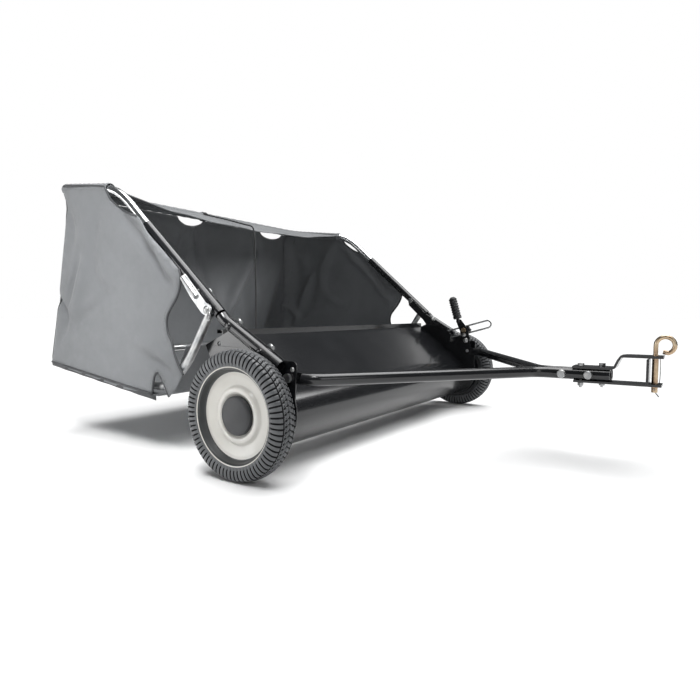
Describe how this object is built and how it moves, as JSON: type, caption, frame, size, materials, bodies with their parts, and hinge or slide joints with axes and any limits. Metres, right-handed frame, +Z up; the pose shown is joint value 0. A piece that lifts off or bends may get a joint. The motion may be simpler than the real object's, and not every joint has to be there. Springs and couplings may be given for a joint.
{
  "type": "lawn sweeper",
  "caption": "Tow-behind lawn sweeper: wheel-driven brush reel in a steel housing, tipping fabric hopper, V drawbar with pinned clevis and a height lever.",
  "frame": {"origin": "on the ground, centred under the bounding box, level stance", "axes": "+X forwards to the hitch, +Y to the machine's left, +Z up"},
  "size_m": [1.4706, 1.132, 0.665],
  "materials": {
    "black_paint": "gloss black",
    "bright_zinc": "bright zinc",
    "chrome_tube": "bright plated",
    "yellow_zinc": "yellow-brown passivated",
    "tyre_rubber": "matt ribbed",
    "grip_rubber": "ribbed",
    "cream_enamel": "cream enamel",
    "black_plastic": "moulded",
    "nylon": "natural nylon",
    "bristle": "bundled filament",
    "hopper_fabric": "coated woven",
    "rope_braid": "braided cord"
  },
  "bodies": {
    "chassis": {"housing_cover": "black_paint", "side_plate_right": "black_paint", "side_plate_left": "black_paint", "side_tube_right": "black_paint", "side_tube_left": "black_paint", "stub_axle_right": "bright_zinc", "stub_axle_left": "bright_zinc", "brush_bearing_right": "nylon", "brush_bearing_left": "nylon", "gear_shield_right": "black_paint", "gear_shield_left": "black_paint", "depth_guide": "bright_zinc"},
    "wheel_right": {"tyre_right": "tyre_rubber", "rim_right": "cream_enamel", "ring_gear_right": "black_plastic", "hub_cap_right": "black_plastic"},
    "wheel_left": {"tyre_left": "tyre_rubber", "rim_left": "cream_enamel", "ring_gear_left": "black_plastic", "hub_cap_left": "black_plastic"},
    "brush_reel": {"brush_shaft": "bright_zinc", "brush_strip_1": "bristle", "brush_strip_2": "bristle", "brush_strip_3": "bristle", "brush_strip_4": "bristle", "pinion_right": "bright_zinc", "pinion_left": "bright_zinc"},
    "drawbar": {"drawbar_tube_right": "black_paint", "drawbar_tube_left": "black_paint", "drawbar_pivot_bolt_right": "bright_zinc", "drawbar_pivot_bolt_left": "bright_zinc", "hitch_cross_bolt_1": "bright_zinc", "hitch_cross_bolt_2": "bright_zinc", "hitch_plate_upper": "black_paint", "hitch_plate_lower": "black_paint", "hitch_bolt_1": "bright_zinc", "hitch_bolt_2": "bright_zinc", "height_lever": "black_paint", "lever_grip": "grip_rubber", "clamp_bolt": "yellow_zinc"},
    "clamp_knob": {"clamp_knob": "black_plastic"},
    "hitch_pin": {"hitch_pin": "yellow_zinc"},
    "hitch_pin_clip": {"hitch_pin_clip": "bright_zinc"},
    "hopper": {"hopper_tube_right": "black_paint", "hopper_tube_left": "black_paint", "hopper_pivot_pin_right": "bright_zinc", "hopper_pivot_pin_left": "bright_zinc", "hopper_brace_right": "bright_zinc", "hopper_brace_left": "bright_zinc", "hopper_top_bow": "chrome_tube", "hopper_lower_bow": "bright_zinc", "bag_side_right": "hopper_fabric", "bag_side_left": "hopper_fabric", "bag_rear": "hopper_fabric", "bag_floor": "hopper_fabric", "bag_roof": "hopper_fabric", "dump_rope": "rope_braid", "dump_rope_coil": "rope_braid", "rope_clip": "black_plastic"}
  },
  "joints": [
    {"name": "brush_spin", "type": "hinge", "parent": "chassis", "child": "brush_reel", "pos_m": [-0.01124, 0, 0.10724], "axis": [0, 1, 0], "continuous": true},
    {"name": "wheel_right_spin", "type": "hinge", "parent": "chassis", "child": "wheel_right", "pos_m": [0.04276, -0.541, 0.127], "axis": [0, 1, 0], "continuous": true},
    {"name": "wheel_left_spin", "type": "hinge", "parent": "chassis", "child": "wheel_left", "pos_m": [0.04276, 0.541, 0.127], "axis": [0, 1, 0], "continuous": true},
    {"name": "height_adjust", "type": "hinge", "parent": "chassis", "child": "drawbar", "pos_m": [0.11276, 0, 0.197], "axis": [0, 1, 0], "range_deg": [-13, 12]},
    {"name": "clamp_knob_turn", "type": "hinge", "parent": "drawbar", "child": "clamp_knob", "pos_m": [0.09976, 0.476, 0.266], "axis": [0, 1, 0], "continuous": true},
    {"name": "hitch_pin_swivel", "type": "hinge", "parent": "drawbar", "child": "hitch_pin", "pos_m": [0.69676, 0, 0.2], "axis": [0, 0, 1], "continuous": true},
    {"name": "hitch_clip_pull", "type": "slide", "parent": "hitch_pin", "child": "hitch_pin_clip", "axis": [0, 1, 0], "range_m": [0, 0.022]},
    {"name": "hopper_dump", "type": "hinge", "parent": "chassis", "child": "hopper", "pos_m": [-0.11224, 0, 0.368], "axis": [0, 1, 0], "range_deg": [0, 75]}
  ],
  "couplings": [
    {"joint": "wheel_right_spin", "follows": "brush_spin", "ratio": 0.23333},
    {"joint": "wheel_left_spin", "follows": "brush_spin", "ratio": 0.23333}
  ]
}
